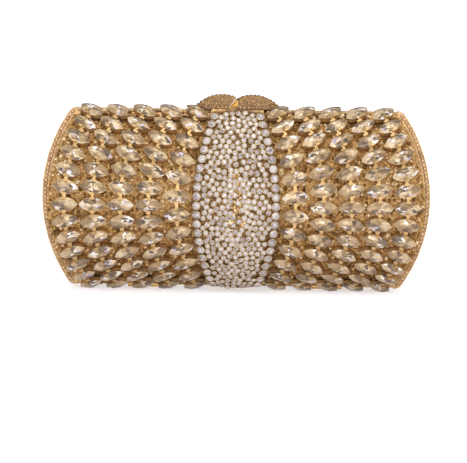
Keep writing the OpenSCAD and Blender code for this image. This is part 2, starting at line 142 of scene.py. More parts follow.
class Sheet:
    def __init__(self, tree):
        self.tree = tree

    def find(self, sockets, key):
        if isinstance(key, int):
            return sockets[key]
        return next(s for s in sockets if s.name == key and s.enabled)

    # Adds a node: its type, the values or links of its sockets, its output and its settings
    def make(self, kind, sockets=None, out=0, **settings):
        node = self.tree.nodes.new(kind)
        for key, value in settings.items():
            setattr(node, key, value)
        for key, value in (sockets or {}).items():
            socket = self.find(node.inputs, key)
            if isinstance(value, Wire):
                self.tree.links.new(value.socket, socket)
            else:
                socket.default_value = value
        return Wire(self, self.find(node.outputs, out)) if len(node.outputs) else node

    def calc(self, operation, *values):
        return self.make("ShaderNodeMath", dict(enumerate(values)), operation=operation)

    def vector(self, x, y, z):
        return self.make("ShaderNodeCombineXYZ", {"X": x, "Y": y, "Z": z})

    def mixed(self, factor, first, second):   # between two screen colours
        return self.make("ShaderNodeMix", {0: factor, 6: paint(*first), 7: paint(*second)},
                         2, data_type="RGBA")

    def ramp(self, stops, light):   # a colour from stops of (place, red, green, blue)
        colour = self.make("ShaderNodeValToRGB", {"Fac": light}, "Color")
        elements = colour.socket.node.color_ramp.elements
        while len(elements) < len(stops):
            elements.new(0.5)
        for element, (place, *shade) in zip(elements, stops):
            element.position = place
            element.color = paint(*shade)
        return colour

    def noise(self, place, scale, detail=2.0):
        return self.make("ShaderNodeTexNoise",
                         {"Vector": place, "Scale": scale, "Detail": detail}, "Fac")

    def attribute(self, name):
        return self.make("ShaderNodeAttribute", None, "Fac", attribute_name=name)

    def remap(self, value, low, high, first=0.0, last=1.0):
        return self.make("ShaderNodeMapRange", {
            "Value": value, "From Min": low, "From Max": high,
            "To Min": first, "To Max": last}, "Result")

    def random(self, kind, low, high, seed):
        return self.make("FunctionNodeRandomValue", {"Min": low, "Max": high, "Seed": seed},
                         "Value", data_type=kind)

    def turn(self, angles):
        return self.make("FunctionNodeEulerToRotation", {"Euler": angles})

    def turned(self, first, angles):   # a rotation with a further turn in its own axes
        return self.make("FunctionNodeRotateRotation",
                         {"Rotation": first, "Rotate By": self.turn(angles)},
                         rotation_space="LOCAL")

    def storedTurn(self):
        return self.make("GeometryNodeInputNamedAttribute", {"Name": "turn"}, "Attribute",
                         data_type="QUATERNION")


# Starts a tree with named inputs. A word in place of a number is the kind of its socket
def startTree(name, inputs):
    tree = bpy.data.node_groups.new(name, "GeometryNodeTree")
    tree.interface.new_socket("Geometry", in_out="INPUT", socket_type="NodeSocketGeometry")
    shared = {"stones": "Collection", "variants": 1, "seed": 1, "material": "Material"}
    for label, value in {**inputs, **shared}.items():
        kind = value if isinstance(value, str) else "Int" if isinstance(value, int) else "Float"
        item = tree.interface.new_socket(label, in_out="INPUT", socket_type="NodeSocket" + kind)
        if kind != value:
            item.default_value = value
    tree.interface.new_socket("Geometry", in_out="OUTPUT", socket_type="NodeSocketGeometry")
    sheet = Sheet(tree)
    return sheet, sheet.make("NodeGroupInput")


# Ends a tree: stones on its points, each with a random tint, as real geometry with a
# material. The seed, raised by a step, draws which stone stands where
def endTree(sheet, source, points, rotation, seedStep, scale=(1, 1, 1)):
    stones = sheet.make("GeometryNodeCollectionInfo", {
        "Collection": source["stones"], "Separate Children": True, "Reset Children": True},
        "Instances")
    pick = sheet.random("INT", 0, source["variants"] - 1, source["seed"] + seedStep)
    placed = sheet.make("GeometryNodeInstanceOnPoints", {
        "Points": points, "Instance": stones, "Pick Instance": True, "Instance Index": pick,
        "Rotation": rotation, "Scale": scale}, "Instances")
    tinted = sheet.make("GeometryNodeStoreNamedAttribute", {
        "Geometry": placed, "Name": "tint",
        "Value": sheet.random("FLOAT", 0.0, 1.0, source["seed"])},
        data_type="FLOAT", domain="INSTANCE")
    real = sheet.make("GeometryNodeRealizeInstances", {"Geometry": tinted})
    dressed = sheet.make("GeometryNodeSetMaterial",
                         {"Geometry": real, "Material": source["material"]})
    sheet.make("NodeGroupOutput", {"Geometry": dressed})
    return sheet.tree


# Runs a tree on a mesh and keeps the result as a plain piece
def grow(name, tree, values, mesh=None):
    values = {**values, "variants": len(values["stones"].objects)}
    carrier = putInScene(name + "Carrier", mesh or bpy.data.meshes.new(name))
    modifier = carrier.modifiers.new("Grow", "NODES")
    modifier.node_group = tree
    for item in tree.interface.items_tree:
        if item.in_out == "INPUT" and item.name in values:
            modifier[item.identifier] = values[item.name]
    graph = bpy.context.evaluated_depsgraph_get()
    result = bpy.data.meshes.new_from_object(carrier.evaluated_get(graph))
    carrier.modifiers.clear()
    bpy.data.objects.remove(carrier)
    result.name = name
    print(name, len(result.polygons), "faces")
    return putInScene(name, result)


# Stones and beads that the trees repeat, all in millimetres

def makeMesh(name, points, loops=(), edges=(), smooth=False):
    mesh = bpy.data.meshes.new(name)
    mesh.from_pydata([tuple(c * mm for c in point) for point in points], edges, loops)
    mesh.update()
    if smooth:
        mesh.shade_smooth()
    return mesh


# Four-cornered faces between lines of n points. Each line may close to a ring, and the last
# line may join the first
def quads(lines, n, ring=False, loop=False, first=0):
    corners = ((0, 0), (1, 0), (1, 1), (0, 1))
    return [tuple(first + (j + b) % lines * n + (i + a) % n for a, b in corners)
            for j in range(lines - (not loop)) for i in range(n - (not ring))]


def endFaces(lines, n):   # the faces that close the first and the last line
    return [tuple(range(n)), tuple(range((lines - 1) * n, lines * n))]


def circle(radius, turn, height=0.0):
    return radius * cos(turn), radius * sin(turn), height


patterns = []


def pattern(name, points, loops, smooth=False):
    piece = bpy.data.objects.new(name, makeMesh(name, points, loops, smooth=smooth))
    patterns.append(piece)
    return piece


def gather(name, pieces):   # a collection outside the scene for a tree to pick from
    group = bpy.data.collections.new(name)
    for piece in pieces:
        group.objects.link(piece)
    return group


def setFacets(piece, values):   # a number for every face, which its material turns into light
    facet = piece.data.attributes.new("facet", "FLOAT", "FACE")
    facet.data.foreach_set("value", [min(1, max(0, value)) for value in values])


stoneSize = {"long": 13.6, "wide": 7.0, "fuller": 1.04, "blunt": 0.3}


def navetteLine(share):   # a point on a pointed oval's outline, at a share of the way round
    half, wide = stoneSize["long"] / 2, stoneSize["wide"]
    radius = (4 * half ** 2 + wide ** 2) / (4 * wide)
    sweep = asin(half / radius)
    side = 1 if share < 0.5 else -1
    turn = pi / 2 - sweep + 2 * sweep * (share % 0.5) * 2
    return side * radius * cos(turn), side * (radius * sin(turn) - (radius - wide / 2))


def fullLine(share):   # the pointed oval, grown a little and with blunter points
    x, y = navetteLine(share)
    half, wide = stoneSize["long"] / 2, stoneSize["wide"] / 2
    oval = wide * sqrt(max(0, 1 - (x / half) ** 2)) * (1 if y >= 0 else -1)
    return x * stoneSize["fuller"], (y + (oval - y) * stoneSize["blunt"]) * stoneSize["fuller"]


def roundLine(share):
    return circle(0.5, 2 * pi * share)[:2]


# A cut stone from rings of (share across x, share across y, height, half step or not). Its
# facets' numbers are painted light for its reflections and glints: random, lowered on the flat
# top by "table" for a painted darker centre, and nearly the same in each of the sectors that
# "patches" gives
def cutStone(name, line, count, rings, foot, seed, patches=0, table=0.0):
    chance = np.random.RandomState(seed)
    points, loops = [], []
    for wideX, wideY, height, half in rings:
        for i in range(count):
            x, y = line(((i + 0.5 * half) / count) % 1)
            points.append((x * wideX, y * wideY, height))
    top = len(points)
    off = chance.uniform(-0.1, 0.1) * max(p[0] for p in points) if patches else 0
    points += [(off, 0, rings[-1][2]), (0, 0, foot)]
    around = [(i, (i + 1) % count) for i in range(count)]
    for ring in range(len(rings) - 1):
        a, b = ring * count, (ring + 1) * count
        for i, j in around:
            if rings[ring][3]:   # the lower ring is the one turned by half a step
                loops += [(a + i, b + j, b + i), (a + i, a + j, b + j)]
            else:
                loops += [(a + i, a + j, b + i), (a + j, b + j, b + i)]
    last = top - count
    for i, j in around:
        loops += [(last + i, last + j, top), (j, i, top + 1)]
    piece = pattern(name, points, loops)
    sectors = chance.permutation(patches) / max(1, patches - 1)
    patchShare, squash = 0.78, 0.6
    values = []
    for face in piece.data.polygons:
        value = chance.uniform() + table * (top in face.vertices)
        if patches:
            turn = atan2(face.center.y, face.center.x * squash) / (2 * pi) % 1
            value = (patchShare * sectors[int(turn * patches) % patches]
                     + (1 - patchShare) * value)
        values.append(value)
    setFacets(piece, values)
    return piece


# Round stones, from (share of the width, height) at the girdle and the shoulder. The tops of
# their kinds are (share of the width, seed)
def roundStones(name, width, girdle, shoulder, high, foot, tops, table=-0.28):
    kinds = []
    for k, (flat, seed) in enumerate(tops):
        rings = [(width * share, width * share, height, i % 2)
                 for i, (share, height) in enumerate([girdle, shoulder, (flat, high)])]
        kinds.append(cutStone(name + str(k), roundLine, 8, rings, foot, seed, table=table))
    return gather(name + "Cuts", kinds)


def nugget(name, radius, seed):   # an irregular grain of gold with flat faces
    chance = np.random.RandomState(seed)
    around = 6
    points = [(0, 0, radius)]
    for wide, high in ((0.78, 0.58), (1.0, -0.15)):
        for i in range(around):
            turn = 2 * pi * (i + chance.uniform(-0.25, 0.25)) / around
            far = radius * wide * chance.uniform(0.75, 1.15)
            points.append(circle(far, turn, radius * high * chance.uniform(0.8, 1.2)))
    points.append((0, 0, -0.7 * radius))
    loops = []
    for i in range(around):
        a, b = 1 + i, 1 + (i + 1) % around
        c, d = a + around, b + around
        loops += [(0, a, b), (a, c, d), (a, d, b), (c, len(points) - 1, d)]
    piece = pattern(name, points, loops)
    # Faces that look up are lighter and those that look down darker: painted light from above,
    # with a random share
    setFacets(piece, [0.3 + 0.42 * p.normal.z + chance.uniform(-0.28, 0.28)
                      for p in piece.data.polygons])
    return piece


def beads(name, radius, flat=1.0, stretch=1.0):   # a small closed ball
    rings, around = 4, 6
    points = [(0, 0, radius * flat)]
    for k in range(1, rings):
        lean = pi * k / rings
        points += [circle(radius * sin(lean), 2 * pi * (i + 0.5 * (k % 2)) / around,
                          radius * flat * cos(lean)) for i in range(around)]
    points.append((0, 0, -radius * flat))
    loops = []
    for i in range(around):
        j = (i + 1) % around
        loops.append((0, 1 + i, 1 + j))
        for k in range(rings - 2):
            a, b = 1 + k * around, 1 + (k + 1) * around
            if k % 2:
                loops += [(a + i, b + i, a + j), (a + j, b + i, b + j)]
            else:
                loops += [(a + i, b + i, b + j), (a + i, b + j, a + j)]
        last = 1 + (rings - 2) * around
        loops.append((last + j, last + i, len(points) - 1))
    points = [(x * stretch, y, z) for x, y, z in points]
    return gather(name, [pattern(name, points, loops, smooth=True)])


# The rim that holds a round stone, from over the stone's edge to outside it
def ringCup(name, width, over, wall, height, around=12):
    inner, outer = width / 2 - over, width / 2 + wall
    profile = [(inner, 0), (outer, 0), (outer, height * 0.8), ((inner + outer) / 2, height),
               (inner, height * 0.85)]
    points = [circle(r, 2 * pi * i / around, z) for i in range(around) for r, z in profile]
    loops = [face[:1] + face[:0:-1] for face in quads(around, len(profile), True, True)]
    return gather(name, [pattern(name, points, loops, smooth=True)])


# Materials

finishes = {}


def startMaterial(name):
    material = finishes[name] = bpy.data.materials.new(name)
    material.use_nodes = True
    material.node_tree.nodes.clear()
    sheet = Sheet(material.node_tree)
    return sheet, sheet.make("ShaderNodeTexCoord")["Object"]


# Ends a material. Its relief is (height, strength, depth in millimetres)
def endMaterial(sheet, colour, metal, rough, relief=None, more=None):
    sockets = {"Base Color": colour, "Metallic": metal, "Roughness": rough, **(more or {})}
    if relief:
        height, strength, depth = relief
        sockets["Normal"] = sheet.make("ShaderNodeBump", {
            "Strength": strength, "Distance": depth * mm, "Height": height})
    surface = sheet.make("ShaderNodeBsdfPrincipled", sockets)
    sheet.make("ShaderNodeOutputMaterial", {"Surface": surface})


# The stones' colours are painted light: the facet numbers and the Voronoi shards stand for
# their inner reflections, and the stops run from painted shade to painted white and lilac
# glints
crystalLooks = {   # stops of (place, red, green, blue)
    "champagneCrystal": {
        "stops": [(0.0, 70, 57, 46), (0.12, 98, 78, 56), (0.26, 124, 97, 65),
                  (0.44, 152, 123, 84), (0.64, 180, 150, 108), (0.82, 204, 177, 136),
                  (0.9, 224, 204, 170), (0.93, 166, 154, 182), (0.97, 252, 246, 234)],
        "turn": "FRACT", "shards": 430, "share": 0.16, "metal": 0.2},
    "clearCrystal": {
        "stops": [(0.0, 72, 60, 64), (0.14, 112, 98, 104), (0.3, 158, 144, 148),
                  (0.52, 190, 178, 178), (0.76, 212, 203, 200), (1.0, 242, 239, 238)],
        "turn": "PINGPONG", "shards": 1500, "share": 0.35, "metal": 0.1},
    "paveCrystal": {
        "stops": [(0.0, 86, 58, 32), (0.25, 112, 80, 48), (0.55, 132, 98, 62),
                  (0.85, 152, 116, 76), (1.0, 190, 156, 114)],
        "turn": "PINGPONG", "shards": 2200, "share": 0.35, "metal": 0.3},
    "bandCrystal": {
        "stops": [(0.0, 100, 68, 38), (0.22, 150, 111, 70), (0.5, 190, 149, 102),
                  (0.8, 218, 180, 134), (1.0, 246, 222, 188)],
        "turn": "PINGPONG", "shards": 1900, "share": 0.35, "metal": 0.3},
}


def crystal(name, look):
    sheet, place = startMaterial(name)
    shard = sheet.make("ShaderNodeTexVoronoi", {"Vector": place, "Scale": look["shards"]},
                       "Color", feature="F1")
    fleck = sheet.make("ShaderNodeSeparateColor", {"Color": shard}, "Red")
    turned = sheet.calc(look["turn"],
                        sheet.attribute("facet") + sheet.attribute("tint") * 1.6, 1.0)
    light = turned * (1.04 - look["share"]) + fleck * look["share"]
    endMaterial(sheet, sheet.ramp(look["stops"], light), look["metal"], 0.1,
                more={"IOR": 1.55, "Coat Weight": 0.35, "Coat Roughness": 0.03})


goldLooks = {   # dark, light, grain, roughness, wear and relief
    "polishedGold": ((164, 122, 68), (210, 172, 112), 420, 0.24, 0.12, 0.04),
    "frameGold": ((160, 126, 86), (202, 168, 124), 420, 0.26, 0.12, 0.04),
    "clawGold": ((172, 138, 88), (214, 182, 132), 700, 0.3, 0.1, 0.04),
    "paleGold": ((204, 170, 122), (238, 214, 172), 800, 0.25, 0.1, 0.05),
    "petalGold": ((102, 76, 48), (138, 108, 72), 700, 0.3, 0.1, 0.05),
    "rimGold": ((152, 114, 74), (190, 150, 104), 700, 0.34, 0.1, 0.05),
    "amberGold": ((158, 110, 48), (200, 150, 74), 500, 0.3, 0.1, 0.04),
    "cupGold": ((176, 150, 112), (222, 204, 172), 900, 0.3, 0.1, 0.05),
}


def gold(name, dark, light, grain, rough, wear, relief):
    sheet, place = startMaterial(name)
    cloud = sheet.noise(place, grain, 3.0)
    fine = sheet.noise(place, grain * 6)
    endMaterial(sheet, sheet.mixed(sheet.remap(cloud, 0.35, 0.65), dark, light), 1.0,
                rough + fine * wear, (cloud * 0.6 + fine * 0.4, 0.35, relief))


# Grains of gold: every flat face keeps its own painted light or shade, painted shade in the
# darkest stops and painted highlights in the lightest
granuleLightStops = [(0.0, 88, 60, 28), (0.25, 130, 92, 44), (0.5, 168, 128, 72),
                (0.72, 214, 178, 122), (0.96, 252, 236, 202)]


def grainGold(name, stops):
    sheet, place = startMaterial(name)
    fine = sheet.noise(place, 1800.0)
    light = sheet.attribute("facet") * 0.5 + sheet.attribute("tint") * 0.85 + fine * 0.2 - 0.3
    endMaterial(sheet, sheet.ramp(stops, light), 0.35, 0.3 + fine * 0.2, (fine, 0.4, 0.05))


# Gold of the collets and claws, by the height over the shell: darker at the foot, a painted
# shade under the stones
colletLook = {"foot": (176, 138, 88), "wall": (210, 174, 122), "claw": (182, 148, 100),
              "wallHeight": 2.0, "clawHeight": 3.3}


def colletGold(name, look):
    sheet, place = startMaterial(name)
    split = sheet.make("ShaderNodeSeparateXYZ", {"Vector": place})
    outward = sheet.calc("ABSOLUTE", split["Y"]) + archCentre * mm
    upward = split["Z"] - caseMiddle * mm
    height = (sheet.calc("SQRT", outward * outward + upward * upward) / mm
              - case["archRadius"])
    top = look["clawHeight"] + 0.4
    cloud = sheet.noise(place, 600.0, 3.0)
    colour = sheet.ramp([(0.1, *look["foot"]), (look["wallHeight"] / top, *look["wall"]),
                         (look["clawHeight"] / top - 0.04, *look["wall"]),
                         (1.0, *look["claw"])], height / top + (cloud - 0.5) * 0.12)
    endMaterial(sheet, colour, 0.75, 0.3 + cloud * 0.16, (cloud, 0.3, 0.05))


# Beaten and granulated gold: painted highlights on the grains over painted amber shade in the
# hollows, with the grains' relief as bumps
workedLooks = {
    "workedGold": {"hollow": (140, 102, 56), "middle": (176, 136, 78),
                   "grain": (216, 178, 118), "size": 800, "relief": 0.28},
    # A darker copy of the worked gold: painted shade for the panel's ground, seen only in the
    # gaps between its stones
    "openGold": {"hollow": (78, 54, 28), "middle": (122, 90, 50), "grain": (176, 138, 88),
                 "size": 700, "relief": 0.28},
}


def workedGold(name, look):
    sheet, place = startMaterial(name)
    cells = sheet.make("ShaderNodeTexVoronoi", {
        "Vector": place, "Scale": look["size"], "Smoothness": 0.3}, "Distance",
        feature="SMOOTH_F1")
    cloud = sheet.noise(place, 260.0, 3.0)
    dome = sheet.remap(cells, 0.1, 0.62, 1.0, 0.0)
    colour = sheet.ramp([(0.0, *look["hollow"]), (0.45, *look["middle"]),
                         (1.0, *look["grain"])], dome * 0.8 + (cloud - 0.5) * 0.5 + 0.05)
    endMaterial(sheet, colour, 0.6, 0.42 - dome * 0.16, (dome, 0.8, look["relief"]))


plainLooks = {   # dark and light
    "leather": ((70, 42, 26), (104, 66, 42)),
    "steel": ((150, 142, 126), (206, 200, 186)),
    "thread": ((128, 88, 52), (176, 132, 84)),
}


def leather(name, dark, light, grain=900):
    sheet, place = startMaterial(name)
    pores = sheet.make("ShaderNodeTexVoronoi", {"Vector": place, "Scale": grain}, "Distance",
                       feature="DISTANCE_TO_EDGE")
    cloud = sheet.noise(place, 60.0, 4.0)
    crease = sheet.remap(pores, 0.0, 0.2)
    endMaterial(sheet, sheet.mixed(cloud * 0.7 + crease * 0.3, dark, light), 0.0,
                0.62 - crease * 0.1, (crease, 0.5, 0.08), {"Sheen Weight": 0.15})


def steel(name, dark, light):
    sheet, place = startMaterial(name)
    drawn = sheet.make("ShaderNodeMapping", {"Vector": place, "Scale": (20, 900, 900)})
    lines = sheet.noise(drawn, 1.0)
    endMaterial(sheet, sheet.mixed(lines, dark, light), 1.0, 0.25 + lines * 0.15,
                (lines, 0.2, 0.02))


def thread(name, dark, light):
    sheet, place = startMaterial(name)
    twist = sheet.make("ShaderNodeTexWave", {
        "Vector": place, "Scale": 700.0, "Distortion": 1.0}, "Fac",
        bands_direction="DIAGONAL")
    endMaterial(sheet, sheet.mixed(twist, dark, light), 0.0, 0.6 + twist * 0.2,
                (twist, 0.5, 0.05), {"Sheen Weight": 0.2})


for name, look in crystalLooks.items():
    crystal(name, look)
for name, look in goldLooks.items():
    gold(name, *look)
grainGold("granuleGold", granuleLightStops)
colletGold("settingGold", colletLook)
for name, look in workedLooks.items():
    workedGold(name, look)
leather("liningLeather", *plainLooks["leather"])
steel("pinSteel", *plainLooks["steel"])
thread("thread", *plainLooks["thread"])
print("finishes made")


# Rows of marquise stones over both wings of one half

rows = {"rows": 13, "columns": 5, "lift": 3.2, "rowSpan": 55.492, "wingEnd": 96.2,
        "wingEndRadius": 90.0, "panelHalfWidth": 22.8, "panelSideRadius": 122.0,
        "panelGap": 0.7, "fanAngle": 36.0, "wobble": 0.035}


def rowTree():
    sheet, source = startTree("stoneRows", {
        **rows, "archRadius": case["archRadius"], "archCentre": archCentre,
        "middleHeight": caseMiddle, "face": -1.0})
    calc = sheet.calc
    columns, rowCount, face = source["columns"], source["rows"], source["face"]
    grid = sheet.make("GeometryNodeMeshGrid", {
        "Size X": 1.0, "Size Y": 1.0, "Vertices X": columns * 2, "Vertices Y": rowCount},
        "Mesh")
    split = sheet.make("ShaderNodeSeparateXYZ",
                       {"Vector": sheet.make("GeometryNodeInputPosition")})
    side = calc("SIGN", split["X"])
    column = calc("ABSOLUTE", split["X"]) * (columns * 2 - 1) - 0.5
    # From -1 in the lowest row to 1 in the highest. The column beside the panel has one less
    fewer = (column < 0.5) / (rowCount - 2)
    height = (split["Y"] * 2 + 1) * (fewer + 1) - 1
    angle = height * calc("RADIANS", source["rowSpan"])
    reach = source["archRadius"] + source["lift"]
    up = reach * calc("SINE", angle)

    def bow(middle, radius):   # how far out a bowed line stands at this height
        return (source[middle] - source[radius]
                + calc("SQRT", calc("POWER", source[radius], 2) - up * up))

    start = bow("panelHalfWidth", "panelSideRadius") + source["panelGap"]
    end = bow("wingEnd", "wingEndRadius")
    place = sheet.vector(side * (start + (end - start) * (column + 0.5) / columns) * mm,
                         face * (reach * calc("COSINE", angle) - source["archCentre"]) * mm,
                         (source["middleHeight"] + up) * mm)
    fan = (calc("RADIANS", source["fanAngle"]) * calc("SINE", height * (pi / 2))
           * face * side * -1)
    stand = sheet.turn(sheet.vector((pi / 2 - angle) * face * -1, 0.0, 0.0))
    most = source["wobble"]
    shake = sheet.random("FLOAT_VECTOR", sheet.vector(most * -1, most * -1, 0.0),
                         sheet.vector(most, most, 0.0), source["seed"])
    turn = sheet.turned(sheet.turned(stand, sheet.vector(0.0, 0.0, fan)), shake)
    inside = sheet.make("GeometryNodeDeleteGeometry", {
        "Geometry": grid, "Selection": calc("GREATER_THAN", height, 1.001)}, domain="POINT")
    # The turn is stored before the points move, because moving them changes Position
    kept = sheet.make("GeometryNodeStoreNamedAttribute", {
        "Geometry": inside, "Name": "turn", "Value": turn},
        data_type="QUATERNION", domain="POINT")
    moved = sheet.make("GeometryNodeSetPosition", {"Geometry": kept, "Position": place})
    return endTree(sheet, source, moved, sheet.storedTurn(), 3)


stoneRows = rowTree()


def growRows(half, name, stones, finish, **changes):
    return grow(half + name, stoneRows, {
        "face": float(faces[half]), "stones": stones, "seed": 5 + faces[half],
        "material": finishes.get(finish), **changes})


marquiseCuts = gather("marquiseCuts", [
    cutStone("marquise" + str(i), fullLine, 10, [
        (1, 1, 0, 0), (wide, high, level, 1), (tableX, tableY, 1.3, 0)],
        foot=-2.4, seed=seed, patches=9)
    for i, (wide, high, level, tableX, tableY, seed) in enumerate([
        (0.8, 0.74, 0.72, 0.54, 0.46, 3), (0.76, 0.7, 0.8, 0.5, 0.22, 7),
        (0.84, 0.8, 0.6, 0.4, 0.55, 11), (0.7, 0.62, 0.9, 0.46, 0.3, 19),
        (0.82, 0.66, 0.7, 0.3, 0.4, 23)])])
for half in faces:
    dress(growRows(half, "MarquiseStones", marquiseCuts, "champagneCrystal"), half,
          "champagne_crystal", half + "_left_marquises", half + "_right_marquises",
          half + "_base_marquises")

# Claw bridges between the rows, waisted in the middle
bridge = {"wide": 2.5, "long": 2.4, "top": 0.5, "foot": -0.9, "fan": 12.0,
          "outline": [(-1, -1), (-0.45, -1.04), (0.45, -1.04), (1, -1), (0.68, 0), (1, 1),
                      (0.45, 1.04), (-0.45, 1.04), (-1, 1), (-0.68, 0)]}


def clawBridge(name, v):
    n = len(v["outline"])
    levels = ((1, v["foot"]), (1, v["top"] * 0.4), (0.72, v["top"]))
    points = [(x * size * v["wide"] / 2, y * v["long"] / 2, height)
              for size, height in levels for x, y in v["outline"]]
    loops = [tuple(range(n))[::-1], tuple(range(2 * n, 3 * n)), *quads(len(levels), n, True)]
    return gather(name, [pattern(name, points, loops)])


bridges = clawBridge("bridges", bridge)
between = rows["rows"] - 1
for half in faces:
    dress(growRows(half, "ClawBridges", bridges, "clawGold", wobble=0.0, rows=between,
                   rowSpan=rows["rowSpan"] * (between - 1) / between,
                   fanAngle=bridge["fan"]), half, "setting_gold")


# Granules that fill the ground between the stones

granules = {"radius": 1.2, "sizes": (1.0, 0.85, 1.15, 0.7), "spread": 0.36, "spacing": 1.66,
            "perSquareMetre": 1.6e6, "clearance": 0.3, "edge": 0.5, "frameEdge": 45.23,
            "strip": (2.4, 46.06), "archEnd": 0.01, "across": 30, "steps": 40}


def panelEdge(up):
    return (rows["panelHalfWidth"] - rows["panelSideRadius"]
            + sqrt(rows["panelSideRadius"] ** 2 - up ** 2))


# The arched ground of both wings and the frame's strip above and below it, as a thin sheet
# that faces outwards
def wingSheet(name, face, v):
    points, loops = [], []
    span = acos((archCentre + case["frameDepth"]) / case["archRadius"]) - v["archEnd"]
    strip = [(case["frameDepth"], v["frameEdge"]), v["strip"]]
    arch = [(case["archRadius"] * cos(turn) - archCentre, case["archRadius"] * sin(turn))
            for turn in (span * (2 * j / v["steps"] - 1) for j in range(v["steps"] + 1))]
    levels = [(depth, -up) for depth, up in strip[::-1]] + arch + strip
    endArc = case["endRadius"] - case["bandInset"] - case["endLean"]
    for side in (-1, 1):
        for loop in quads(len(levels), v["across"] + 1, first=len(points)):
            loops.append(loop if face * side < 0 else loop[::-1])
        for depth, up in levels:
            start = panelEdge(up) + v["edge"]
            end = case["endCentre"] - v["edge"] + sqrt(endArc ** 2 - up ** 2)
            points += [(side * (start + (end - start) * i / v["across"]), face * depth,
                        caseMiddle + up) for i in range(v["across"] + 1)]
    return makeMesh(name, points, loops)


def granuleTree():
    sheet, source = startTree("granules", {
        "keepClear": "Object", "clearance": 0.0005, "spacing": 0.001, "density": 1e6,
        "spread": 0.3})
    dots = sheet.make("GeometryNodeDistributePointsOnFaces", {
        "Mesh": source["Geometry"], "Distance Min": source["spacing"],
        "Density Max": source["density"], "Seed": source["seed"]}, "Points",
        distribute_method="POISSON")
    solid = sheet.make("GeometryNodeObjectInfo", {"Object": source["keepClear"]}, "Geometry")
    away = sheet.make("GeometryNodeProximity", {"Geometry": solid}, "Distance",
                      target_element="FACES")
    free = sheet.make("GeometryNodeDeleteGeometry", {
        "Geometry": dots, "Selection": away < source["clearance"]}, domain="POINT")
    size = sheet.random("FLOAT", 1 - source["spread"], source["spread"] * 0.6 + 1,
                        source["seed"] + 1)
    return endTree(sheet, source, free, dots["Rotation"], 2, size)


def footprint(name, margin, count=16):   # the plan of a collet, on the ground below its stone
    line = [navetteLine(i / count) for i in range(count)]
    return gather(name, [pattern(name, [
        (x * (1 + margin / 7), y * (1 + margin / 3.5), -rows["lift"]) for x, y in line],
        [tuple(range(count))])])


granuleBeads = gather("granuleBeads", [
    nugget("granule" + str(i), granules["radius"] * size, 13 + i)
    for i, size in enumerate(granules["sizes"])])
prints = footprint("prints", 0.25)
granuleMaker = granuleTree()
for half in faces:
    keepClear = growRows(half, "Prints", prints, None, wobble=0.0)
    grains = grow(half + "Granules", granuleMaker, {
        "keepClear": keepClear, "clearance": granules["clearance"] * mm,
        "spacing": granules["spacing"] * mm, "density": granules["perSquareMetre"],
        "stones": granuleBeads, "spread": granules["spread"], "seed": 31 + faces[half],
        "material": finishes["granuleGold"]}, wingSheet(half + "Ground", faces[half], granules))
    bpy.data.objects.remove(keepClear)
    dress(grains, half, "worked_gold")


# Round stones in cups over the centre panel

panel = {"top": 58.483, "span": 53.234, "borderStone": 4.1, "borderPitch": 5.1,
         "borderInset": 2.5, "fieldStone": 2.6, "spacing": 3.34, "middleSpacing": 2.8,
         "middleHalfWidth": 3.4, "middleHalfHeight": 20.0, "middlePlace": -3.0, "extra": 26,
         "extraReach": (2.5, 18), "scatter": 0.9, "turns": 10, "push": 0.22, "shove": 0.5,
         "middleFade": 1.6, "borderGap": 3.6, "gapShare": 0.8, "endGap": 1.0,
         "nearest": 0.93, "nearBorder": 0.86, "seed": 24}
# Grains of gold in the panel's middle, wherever a stone leaves room
fillGrains = {"low": -24, "high": 19, "halfWidth": 4.4, "middle": -3, "roundness": 130,
              "tries": 900, "room": 0.34, "apart": 0.8}


def borderPlace(angle):
    return panelEdge(panel["top"] * sin(angle)) - panel["borderInset"]


def fieldRoom(angle):
    return borderPlace(angle) - panel["borderGap"] * panel["gapShare"]


def gaps(first, second):   # from each of the first points to each of the second
    between = first[:, None, :] - second[None, :, :]
    return between, np.sqrt((between ** 2).sum(2))


# Spreads the field stones: they start in a loose grid and push each other and the border's
# stones to even distances, closer together in the panel's middle
def fieldSpots(v, border):
    chance = np.random.RandomState(v["seed"])
    fixed = np.array([(x, angle * v["top"]) for x, angle in border])
    limit = radians(v["span"]) * v["top"] - v["endGap"]
    rowStep = v["spacing"] * sin(pi / 3)
    spots = []
    count = int(limit / rowStep)
    for j in range(-count, count + 1):
        reach = fieldRoom(j * rowStep / v["top"])
        along = int(reach / v["spacing"]) + 1
        for i in range(-along, along + 1):
            x = (i + 0.5 * (j % 2)) * v["spacing"]
            if abs(x) <= reach + 0.3:
                spots.append((x, j * rowStep))
    wide, high = v["extraReach"]
    for k in range(v["extra"]):   # extra ones in the middle
        spots.append((chance.uniform(-wide, wide),
                      v["middlePlace"] + chance.uniform(-high, high)))
    spots = np.array(spots) + chance.normal(0, v["scatter"], (len(spots), 2))
    for turn in range(v["turns"]):
        between, far = gaps(spots, spots)
        far += 1e-6
        np.fill_diagonal(far, 1e6)
        oval = ((spots[:, 0] / v["middleHalfWidth"]) ** 2
                + ((spots[:, 1] - v["middlePlace"]) / v["middleHalfHeight"]) ** 2)
        need = (v["spacing"] + (v["middleSpacing"] - v["spacing"])
                * np.clip(v["middleFade"] - oval, 0, 1))
        push = np.clip((need[:, None] + need[None, :]) / 2 - far, 0, None) / far
        away, off = gaps(spots, fixed)
        off += 1e-6
        shove = np.clip(v["borderGap"] - off, 0, None) / off
        spots = (spots + (between * push[:, :, None]).sum(1) * v["push"]
                 + (away * shove[:, :, None]).sum(1) * v["shove"])
        spots[:, 1] = np.clip(spots[:, 1], -limit, limit)
        reach = np.array([fieldRoom(y / v["top"]) for y in spots[:, 1]])
        spots[:, 0] = np.clip(spots[:, 0], -reach, reach)
    far = gaps(spots, spots)[1]
    off = gaps(spots, fixed)[1].min(1)
    keep = []
    for i in range(len(spots)):   # two stones that stayed too close lose one
        if (off[i] > v["borderGap"] * v["nearBorder"]
                and all(far[i, j] > v["fieldStone"] * v["nearest"] for j in keep)):
            keep.append(i)
    return [(spots[i, 0], spots[i, 1] / v["top"]) for i in keep]


